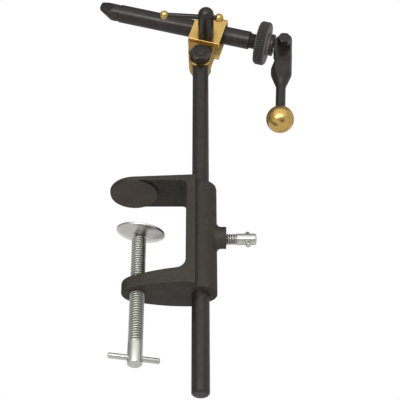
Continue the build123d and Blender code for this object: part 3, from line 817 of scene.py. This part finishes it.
def make_brass(name, low, high, shade_amount):
    """Golden brass with bright edges, partly rubbed and partly a painted highlight, and painted brown shade in its
    corners and over its legs' outside faces, where it also stands for a dark reflection.

    Its roughness goes from low to high, and its last argument is how far the painted shade darkens its corners.
    """
    wall_shade, leg_shade, leg_dark_reflection = shade_amount * 0.85, shade_amount * 1.14, 0.62
    material, tree, shader = finish_material(name, low, metallic=1.0)
    cloud = mask_of(tree, surface_grain, size=7.0, detail=3.0)
    fine = mask_of(tree, surface_grain, size=0.5, detail=2.0)
    edge = mask_of(tree, edge_wear, width=0.3, breakup=20.0)
    corner = mask_of(tree, occlusion_shade, reach=10.0)
    inside, leg, rim = noted(tree, "inside"), noted(tree, "leg"), noted(tree, "rim")
    # Painted shade: brown in hidden corners and over the legs' outside faces, where it also stands for a dark
    # reflection; the inside and the rims keep little of it.
    corner_shaded = calc(tree, "MULTIPLY", corner, ramp(tree, leg, 0, 1, wall_shade, leg_shade))
    brown = calc(tree, "MAXIMUM", corner_shaded, scaled(tree, leg, leg_dark_reflection))
    brown = calc(tree, "MULTIPLY", brown, ramp(tree, inside, 0, 1, 1.0, 0.15))
    brown = calc(tree, "MULTIPLY", brown, ramp(tree, rim, 0, 1, 1.0, 0.1))
    tint = blend(tree, scaled(tree, cloud, 0.45), brass_gold, brass_dull)
    tint = blend(tree, brown, tint, brass_shade_brown)
    # Bright edges: partly rubbed brass, partly a painted edge highlight.
    tint = blend(tree, scaled(tree, edge, 0.6), tint, brass_edge_wear_and_highlight)
    rough = calc(tree, "ADD", ramp(tree, cloud, 0, 1, low, high), scaled(tree, inside, 0.3))
    polished = ramp(tree, inside, 0, 1, 1.0, 0.45)
    fill(tree, shader, base_color=tint, roughness=rough, metallic=polished)
    roughen(tree, shader, fine, 0.0006)
    return material


powder_coat = make_powder_coat()
black_oxide = make_black_oxide("black_oxide", marks_depth=0.004, low=0.27, high=0.36)
knurled_steel = make_black_oxide("knurled_steel", marks_depth=0.003, low=0.36, high=0.46, rubbed_crests=0.8)
lever_steel = make_black_oxide("lever_steel", marks_depth=0.001, low=0.22, high=0.28)
jaw_steel = make_black_oxide("jaw_steel", marks_depth=0.002, low=0.28, high=0.38)
bolt_steel = make_black_oxide("bolt_steel", marks_depth=0.003, low=0.36, high=0.46, greyed=1.3)
zinc = make_plated(
    "zinc", zinc_bright, zinc_dull, marks_depth=0.002, low=0.27, high=0.36, corner_shade=0.6)
pad_metal = make_plated(
    "pad_metal", pad_bright, pad_dull, marks_depth=0.006, low=0.24, high=0.34, corner_shade=0.1)
bracket_brass = make_brass("bracket_brass", low=0.2, high=0.28, shade_amount=0.85)
ball_brass = make_brass("ball_brass", low=0.25, high=0.3, shade_amount=0.3)


# Clamp

thread_tree = make_thread_tree()
knurl_tree = make_knurl_tree()
spring_tree = make_spring_tree()


def make_clamp_screw():
    """Clamp screw: threaded to near its foot, necked and riveted over in the pad."""
    high = screw_shoulder - screw_edge
    outline = eased([
        (0, screw_foot), (screw_radius - screw_edge, screw_foot), (screw_radius, screw_foot + screw_edge),
        (screw_radius, screw_thread_low), (screw_radius, high), (screw_radius - screw_edge, screw_shoulder),
        (screw_neck_radius, screw_shoulder), (screw_neck_radius, rivet_low), (rivet_radius, rivet_low),
        (rivet_crown_radius, rivet_top), (0, rivet_top)], screw_corner_round)
    outline = divided(outline, screw_thread_low, high, thread_step)
    piece = lathe("clamp_screw_cut", outline, segments=56)
    apply_tree(
        piece, thread_tree, zinc, pitch=screw_pitch, depth=screw_thread_depth, start=screw_thread_low,
        end=high + screw_thread_past, run_out=1.1, crest_radius=screw_radius)
    settle(piece, Matrix(), zinc, "clamp_screw", angle=50)


def make_rod(node, low, high, radius, edge, place, material):
    """Round bar with its ends rounded over."""
    outline = [(0, low)] + arc((radius - edge, low + edge), edge, -90, 0, steps=6)
    outline += arc((radius - edge, high - edge), edge, 0, 90, steps=6) + [(0, high)]
    settle(lathe(node + "_turned", outline, segments=40), place, material, node)


def make_tee_bar():
    """Bar through the clamp screw's foot, slid a little to its left."""
    turn = Matrix.Rotation(radians(tee_turn), 4, "Z")
    place = Matrix.Translation((0, 0, tee_height)) @ turn @ framed((0, 0, 0), (1, 0, 0))
    make_rod(
        "clamp_tee_bar", -tee_half - tee_slip, tee_half - tee_slip, tee_radius, tee_end_round, place, zinc)


def make_pad():
    """Dished pad that leans on the screw's riveted neck."""
    steps = 10
    slant = Vector((pad_radius - pad_seat_radius, pad_dish))
    normal = Vector((-slant.y, slant.x)).normalized()
    under = []
    for step in range(steps + 1):
        t = step / steps
        sag = -4 * t * (1 - t) * pad_bow
        point = Vector((pad_seat_radius, 0)) + slant * t + normal * sag
        under.append((point.x, point.y))
    over = [(r, z + pad_thickness) for r, z in reversed(under)]
    outline = [(pad_hole_radius, 0)] + under + over + [(pad_hole_radius, pad_thickness)]
    piece = lathe("swivel_pad_pressed", eased(outline, pad_edge_round), segments=96)
    near = Matrix.Rotation(radians(pad_lean_near), 4, "X")
    right = Matrix.Rotation(radians(pad_lean_right), 4, "Y")
    place = Matrix.Translation(pad_place) @ near @ right
    settle(piece, place, pad_metal, "swivel_pad", angle=40)


def make_stem_lock():
    """Lock screw with a few threads standing out of the boss and a plain rounded end."""
    low = lock_inner_end + lock_inner_edge
    outline = [(0, lock_inner_end), (lock_radius - lock_inner_edge, lock_inner_end), (lock_radius, low)]
    outline += [(lock_radius, lock_thread_end)]
    end_centre = (lock_radius - lock_end_round, lock_outer_end - lock_end_round)
    outline += arc(end_centre, lock_end_round, 0, 90, steps=6) + [(0, lock_outer_end)]
    outline = divided(outline, low, lock_thread_end, thread_step)
    piece = lathe("stem_lock_screw_cut", outline, segments=48)
    apply_tree(
        piece, thread_tree, zinc, pitch=lock_pitch, depth=lock_thread_depth, start=lock_inner_end,
        end=lock_thread_end, run_out=1.2, crest_radius=lock_radius)
    settle(piece, along("stem_lock_turn"), zinc, "stem_lock_screw", angle=50)


def make_lock_pin():
    """Pin across the lock screw's outer end."""
    lean = radians(lock_pin_lean)
    centre = joint_place("stem_lock_turn") + Vector((lock_outer_end - lock_pin_inset, 0, 0))
    place = framed(centre, (0, sin(lean), cos(lean)))
    make_rod("stem_lock_pin", -lock_pin_half, lock_pin_half, lock_pin_radius, lock_pin_end_round, place, zinc)


def make_clamp():
    """Casting, clamp screw with its tee bar and pad, and the stem's lock screw with its pin."""
    carried_over("clamp_frame", Matrix(), powder_coat, angle=40, edge=0.35)
    make_clamp_screw()
    make_tee_bar()
    make_pad()
    make_stem_lock()
    make_lock_pin()


# Head

tilt_line = along("head_tilt")
barrel_line = along("barrel_turn")
lock_line = along("head_lock_turn")
lever_line = framed(joint_place("lever_cam"), lever_axis)


def make_tommy_bar():
    """Bar through the lock's post, with a brass ball pressed on each end."""
    centre = lock_line @ Vector((0, 0, -tommy_lift))
    line = framed(centre, joints["tommy_slide"]["axis"])
    make_rod("lock_tommy_bar", tommy_low, tommy_high, tommy_radius, tommy_end_round, line, black_oxide)
    for node, height in tommy_balls.items():
        piece = turned_ball(node + "_turned", tommy_ball_radius, steps=24, segments=40)
        settle(piece, line @ Matrix.Translation((0, 0, height)), ball_brass, node)


def make_barrel():
    """Sleeve with a tapered mouth, a bore for the jaws and a fine thread on its neck."""
    lip = barrel_edge / 2
    mouth_depth = (mouth_radius - barrel_bore_radius) / tan(radians(mouth_half_angle))
    neck_low = barrel_rear + neck_thread_gap
    neck_high = neck_end - barrel_edge
    outline = [
        (mouth_radius, barrel_front), (barrel_radius - lip, barrel_front),
        (barrel_radius, barrel_front + lip), (barrel_radius, barrel_rear - barrel_edge),
        (barrel_radius - barrel_edge, barrel_rear), (neck_radius, barrel_rear), (neck_radius, neck_low),
        (neck_radius, neck_high), (neck_radius - barrel_edge, neck_end), (rod_passage_radius, neck_end),
        (rod_passage_radius, barrel_bore_rear), (barrel_bore_radius, barrel_bore_rear),
        (barrel_bore_radius, barrel_front + mouth_depth)]
    piece = lathe("barrel_turned", divided(outline, neck_low, neck_high, neck_thread_step), segments=72)
    apply_tree(
        piece, thread_tree, black_oxide, pitch=neck_pitch, depth=neck_thread_depth, start=barrel_rear,
        end=neck_end, run_out=0.5, crest_radius=neck_radius)
    settle(piece, barrel_line, black_oxide, "barrel", angle=40)


def make_spring():
    """Return spring between the jaws' shank and the end of the wide bore."""
    seed = lathe("return_spring_wound", [(0, 0), (1, 0.5), (0, 1)], segments=8)
    apply_tree(
        seed, spring_tree, zinc, turns=spring_turns, coil_radius=spring_coil_radius,
        wire_radius=spring_wire_radius, height=spring_high - spring_low, start=spring_low)
    piece = settle(seed, barrel_line, zinc, "return_spring", angle=60)
    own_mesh(piece)


def make_knob():
    """Adjusting knob with a diamond knurl round its rim and a hub behind."""
    low, high = knob_front + knob_edge, knob_rear - knob_edge
    outline = [
        (knob_bore_radius, knob_front), (knob_radius - knob_edge, knob_front), (knob_radius, low),
        (knob_radius, high), (knob_radius - knob_edge, knob_rear), (hub_radius, knob_rear),
        (hub_radius, hub_end - hub_edge), (hub_radius - hub_edge, hub_end), (knob_bore_radius, hub_end)]
    steps_in_diamond = 12
    outline = divided(outline, low, high, knurl_step)
    piece = lathe("adjusting_knob_knurled", outline, segments=knurl_count * steps_in_diamond)
    apply_tree(
        piece, knurl_tree, knurled_steel, count=knurl_count, pitch=2 * pi * knob_radius / knurl_count,
        depth=knurl_depth, start=low - knurl_past, end=high + knurl_past, rim_radius=knob_radius)
    settle(piece, barrel_line, knurled_steel, "adjusting_knob", angle=40)


def make_washer():
    """Thrust washer between the knob's hub and the lever."""
    outline = eased([
        (rod_passage_radius, washer_front), (hub_radius, washer_front), (hub_radius, washer_rear),
        (rod_passage_radius, washer_rear)], washer_edge_round)
    piece = lathe("thrust_washer_turned", outline, segments=64)
    settle(piece, barrel_line, black_oxide, "thrust_washer")


def make_ball_knob():
    """Brass ball on the foot of the lever."""
    centre = lever_line @ Vector((-lever_offset, 0, -ball_drop))
    piece = turned_ball("ball_knob_turned", ball_radius, steps=40, segments=64)
    settle(piece, framed(centre, lever_axis), ball_brass, "ball_knob")


def make_head():
    """Stem, brass bracket, barrel and jaws, knob, cam lever and the lock with its tommy bar."""
    carried_over("stem", framed(stem_place, (0, 0, 1)), black_oxide)
    for node in ("pivot_bolt", "pivot_nut"):
        carried_over(node, tilt_line, bolt_steel, angle=28, edge=0.25)
    carried_over("head_bracket", tilt_line, bracket_brass, angle=28, edge=0.25, form=note_bracket_faces)
    for node in ("head_lock_screw", "head_lock_nut"):
        carried_over(node, lock_line, black_oxide, angle=28, edge=0.2)
    carried_over("collet_jaws", barrel_line, jaw_steel, angle=20, edge=0.15)
    carried_over("draw_rod", barrel_line, zinc)
    carried_over("cam_lever", lever_line, lever_steel, angle=28, edge=0.25, form=swell_flats)
    carried_over("lever_pin", along("lever_cam"), black_oxide, angle=28, edge=0.25)
    make_tommy_bar()
    make_barrel()
    make_spring()
    make_knob()
    make_washer()
    make_ball_knob()


make_clamp()
make_head()


# Studio, with its places and panels in metres

sensor_width = 36           # millimetres
photo_width = 400           # pixels
photo_focal_length = 1130   # pixels
camera_rise = radians(34.5)
camera_aim = Vector((33.2, 0, -3.4)) * MM
camera_reach = 0.631
camera_line = Vector((0, cos(camera_rise), sin(camera_rise)))
world_light = 0.38
floor_width = 40.0
floor_place = (0.03, 0, -0.45)
floor_pale = (0.82, 0.82, 0.82)
floor_dark = (0.78, 0.78, 0.78)
floor_glow = 0.36
floor_mirrored = 0.7
white = (1, 1, 1, 1)


def make_camera():
    """Camera below and in front of the vise, looking up at it."""
    lens = bpy.data.cameras.new("camera")
    lens.sensor_width = sensor_width
    lens.lens = sensor_width * photo_focal_length / photo_width
    camera = bpy.data.objects.new("camera", lens)
    bpy.context.scene.collection.objects.link(camera)
    camera.location = camera_aim - camera_line * camera_reach
    camera.rotation_euler = (radians(90) + camera_rise, 0, 0)
    bpy.context.scene.camera = camera


def make_world():
    """White to the camera and in reflections, softer as a light."""
    world = bpy.data.worlds.new("studio")
    world.use_nodes = True
    bpy.context.scene.world = world
    tree = world.node_tree
    tree.nodes.clear()
    path = tree.nodes.new("ShaderNodeLightPath").outputs
    seen = calc(tree, "MAXIMUM", path["Is Camera Ray"], path["Is Glossy Ray"])
    seen = calc(tree, "MAXIMUM", seen, path["Is Transmission Ray"])
    shown = add(tree, "ShaderNodeBackground", white, 1.0).outputs[0]
    soft = add(tree, "ShaderNodeBackground", white, world_light).outputs[0]
    mixed = add(tree, "ShaderNodeMixShader", seen, soft, shown).outputs[0]
    feed(tree, tree.nodes.new("ShaderNodeOutputWorld").inputs[0], mixed)


def panel(name, width, height, place):
    """A flat panel of the studio, facing along its matrix's Z."""
    made = bmesh.new()
    bmesh.ops.create_grid(made, x_segments=8, y_segments=8, size=0.5)
    mesh = bpy.data.meshes.new(name)
    made.to_mesh(mesh)
    made.free()
    mesh.transform(place @ Matrix.Diagonal((width, height, 1, 1)))
    piece = link(name, mesh)
    return piece


def make_floor():
    """Plain pale floor, well below the clamp, that keeps the vise's shadow."""
    floor = panel("floor", floor_width, floor_width, Matrix.Translation(floor_place))
    material, tree, shader = finish_material("floor_paper", 0.9)
    shader.inputs["Specular IOR Level"].default_value = 0.1
    place = add(tree, "ShaderNodeTexCoord").outputs["Object"]
    noise = fill(tree, add(tree, "ShaderNodeTexNoise"), vector=place, scale=30.0)
    fill(tree, shader, base_color=blend(tree, noise.outputs[0], floor_dark, floor_pale))
    path = add(tree, "ShaderNodeLightPath").outputs
    glow = scaled(tree, path["Is Camera Ray"], floor_glow)
    pale = add(tree, "ShaderNodeEmission", white, glow).outputs[0]
    lit = add(tree, "ShaderNodeAddShader", shader.outputs[0], pale).outputs[0]
    mirrored = add(tree, "ShaderNodeEmission", white, floor_mirrored).outputs[0]
    mixed = add(tree, "ShaderNodeMixShader", path["Is Glossy Ray"], lit, mirrored).outputs[0]
    feed(tree, tree.nodes["Material Output"].inputs["Surface"], mixed)
    floor.data.materials.append(material)


def make_flag(name, width, height, place, turn, level):
    """A dark or pale panel that only reflections see, which shapes the light on the metal."""
    flag = panel(name, width, height, Matrix.Translation(place) @ turn)
    material = bpy.data.materials.new(name + "_cloth")
    material.use_nodes = True
    tree = material.node_tree
    tree.nodes.clear()
    glow = add(tree, "ShaderNodeEmission", (level, level, level, 1), 1.0).outputs[0]
    feed(tree, tree.nodes.new("ShaderNodeOutputMaterial").inputs[0], glow)
    flag.data.materials.append(material)
    flag.visible_camera = False
    flag.visible_diffuse = False
    flag.visible_shadow = False
    flag.visible_transmission = False


def make_lamp(name, bearing, rise, reach, width, height, energy, mirrored=False):
    """A soft oval lamp aimed at the vise from a bearing left of the front and a rise, in degrees.

    A mirrored lamp shows only in reflections, and any other one only lights what it falls on.
    """
    turn, lift = radians(bearing), radians(rise)
    line = Vector((-sin(turn) * cos(lift), -cos(turn) * cos(lift), sin(lift)))
    lamp = bpy.data.lights.new(name, "AREA")
    lamp.shape = "ELLIPSE"
    lamp.size = width
    lamp.size_y = height
    lamp.energy = energy
    light = bpy.data.objects.new(name, lamp)
    bpy.context.scene.collection.objects.link(light)
    light.location = camera_aim + line * reach
    light.rotation_euler = line.to_track_quat("Z", "Y").to_euler()
    light.visible_glossy = mirrored
    light.visible_diffuse = not mirrored


def make_flags():
    """The studio's flags: behind, beside, round the camera, low behind and above."""
    to_camera = Matrix.Rotation(radians(90), 4, "X")
    to_left = Matrix.Rotation(radians(-90), 4, "Y")
    to_right = Matrix.Rotation(radians(90), 4, "Y")
    to_floor = Matrix.Rotation(pi, 4, "X")
    to_vise = camera_line.to_track_quat("Z", "Y").to_matrix().to_4x4()
    round_camera = camera_aim - camera_line * 0.7
    before_camera = camera_aim - camera_line * 0.66
    make_flag("back_flag", width=1.4, height=1.6, place=(-0.58, 0.45, 0.95), turn=to_camera, level=0.12)
    make_flag("back_right_flag", width=1.2, height=1.6, place=(0.72, 0.45, 0.95), turn=to_camera, level=0.5)
    make_flag("right_flag", width=1.4, height=1.1, place=(0.75, -0.08, 0.5), turn=to_left, level=0.6)
    make_flag("left_flag", width=1.4, height=1.1, place=(-0.75, -0.08, 0.55), turn=to_right, level=0.38)
    make_flag("camera_flag", width=1.1, height=0.7, place=round_camera, turn=to_vise, level=0.45)
    make_flag("lens_flag", width=0.36, height=0.36, place=before_camera, turn=to_vise, level=0.06)
    make_flag("ball_flag", width=0.28, height=0.18, place=(0.22, -0.29, -0.31), turn=to_vise, level=0.05)
    make_flag("low_flag", width=0.8, height=0.5, place=(0.43, 0.9, -0.35), turn=to_camera, level=0.33)
    make_flag("ceiling_flag", width=2.2, height=1.3, place=(0.03, 0.1, 0.95), turn=to_floor, level=0.3)


make_camera()
make_world()
make_floor()
make_lamp("key", bearing=8, rise=-6, reach=0.75, width=0.36, height=0.5, energy=1.8)
make_lamp("softbox", bearing=8, rise=-8, reach=0.75, width=0.9, height=0.36, energy=4.4, mirrored=True)
make_lamp("fill", bearing=-10, rise=-36, reach=0.55, width=0.4, height=0.36, energy=2.4)
make_lamp("back", bearing=180, rise=50, reach=1.6, width=0.2, height=0.2, energy=7.0)
make_flags()
bpy.context.scene.view_settings.view_transform = "Standard"
